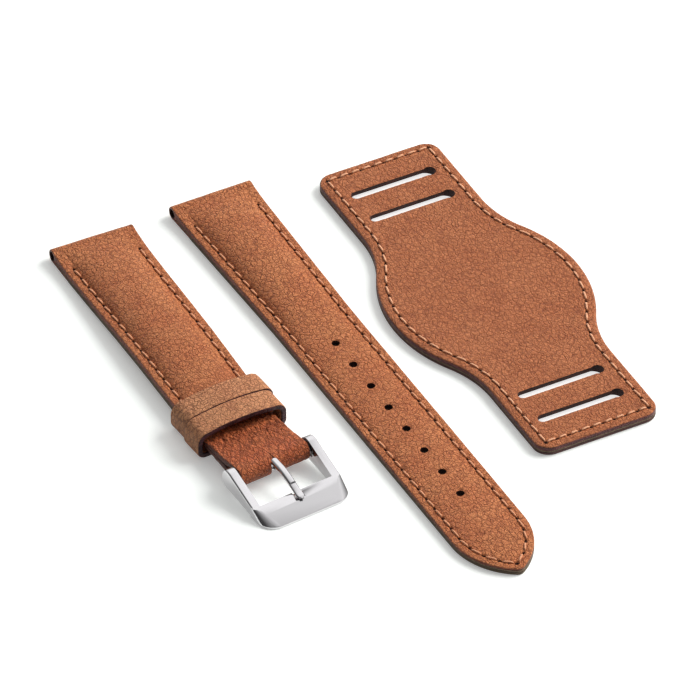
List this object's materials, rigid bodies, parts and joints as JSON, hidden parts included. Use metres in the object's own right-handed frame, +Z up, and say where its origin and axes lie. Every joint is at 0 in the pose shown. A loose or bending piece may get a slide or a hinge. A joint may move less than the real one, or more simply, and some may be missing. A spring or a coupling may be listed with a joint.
{
  "type": "bund watch strap",
  "caption": "Padded leather watch strap in two halves with a pin buckle, and a slotted leather pad that goes under the watch, laid out side by side.",
  "frame": {"origin": "middle of the set's box, on the surface that the pieces lie on", "axes": "+Z up; the straps run nearly along Y with their lug ends towards +Y; +X from the buckle strap to the pad"},
  "size_m": [0.1004, 0.1384, 0.0074],
  "materials": {
    "pad_leather": "pebbled, satin",
    "strap_leather": "pebbled, satin, edges painted",
    "tab_leather": "creased, satin",
    "keeper_leather": "fine cracked grain",
    "lining": "smooth, dull",
    "stiffener": "dull",
    "padding": "dull",
    "thread": "waxed",
    "steel": "polished",
    "spring_steel": "drawn wire"
  },
  "bodies": {
    "pad": {"pad_face": "pad_leather", "pad_core": "stiffener", "pad_lining": "lining", "pad_thread": "thread"},
    "short_strap": {"short_face": "strap_leather", "short_padding": "padding", "short_stiffener": "stiffener", "short_lining": "lining", "short_thread": "thread", "buckle_tab": "tab_leather", "fixed_keeper": "keeper_leather"},
    "floating_keeper": {"floating_keeper": "keeper_leather"},
    "buckle": {"buckle_frame": "steel", "spring_bar_tube": "steel", "spring_bar_spring": "spring_steel"},
    "tongue": {"buckle_tongue": "steel"},
    "left_tip": {"spring_bar_left_tip": "steel"},
    "right_tip": {"spring_bar_right_tip": "steel"},
    "long_strap": {"long_face": "strap_leather", "long_padding": "padding", "long_stiffener": "stiffener", "long_lining": "lining", "long_thread": "thread"}
  },
  "joints": [
    {"name": "short_strap_lift", "type": "slide", "parent": "pad", "child": "short_strap", "axis": [0, 0, 1], "range_m": [0, 0.06]},
    {"name": "long_strap_lift", "type": "slide", "parent": "pad", "child": "long_strap", "axis": [0, 0, 1], "range_m": [0, 0.06]},
    {"name": "floating_keeper_slide", "type": "slide", "parent": "short_strap", "child": "floating_keeper", "axis": [0.0209, 0.9998, 0], "range_m": [0, 0.012]},
    {"name": "buckle_hinge", "type": "hinge", "parent": "short_strap", "child": "buckle", "pos_m": [-0.03833, -0.01697, 0.0034], "axis": [-0.9959, -0.0906, 0], "range_deg": [0, 55]},
    {"name": "tongue_hinge", "type": "hinge", "parent": "buckle", "child": "tongue", "pos_m": [-0.03833, -0.01697, 0.0034], "axis": [-0.9959, -0.0906, 0], "range_deg": [0, 70]},
    {"name": "left_tip_press", "type": "slide", "parent": "buckle", "child": "left_tip", "axis": [0.9959, 0.0906, 0], "range_m": [0, 0.00105], "stiffness_N_per_m": 900},
    {"name": "right_tip_press", "type": "slide", "parent": "buckle", "child": "right_tip", "axis": [-0.9959, -0.0906, 0], "range_m": [0, 0.00105], "stiffness_N_per_m": 900, "deforming": ["spring_bar_spring"]}
  ]
}
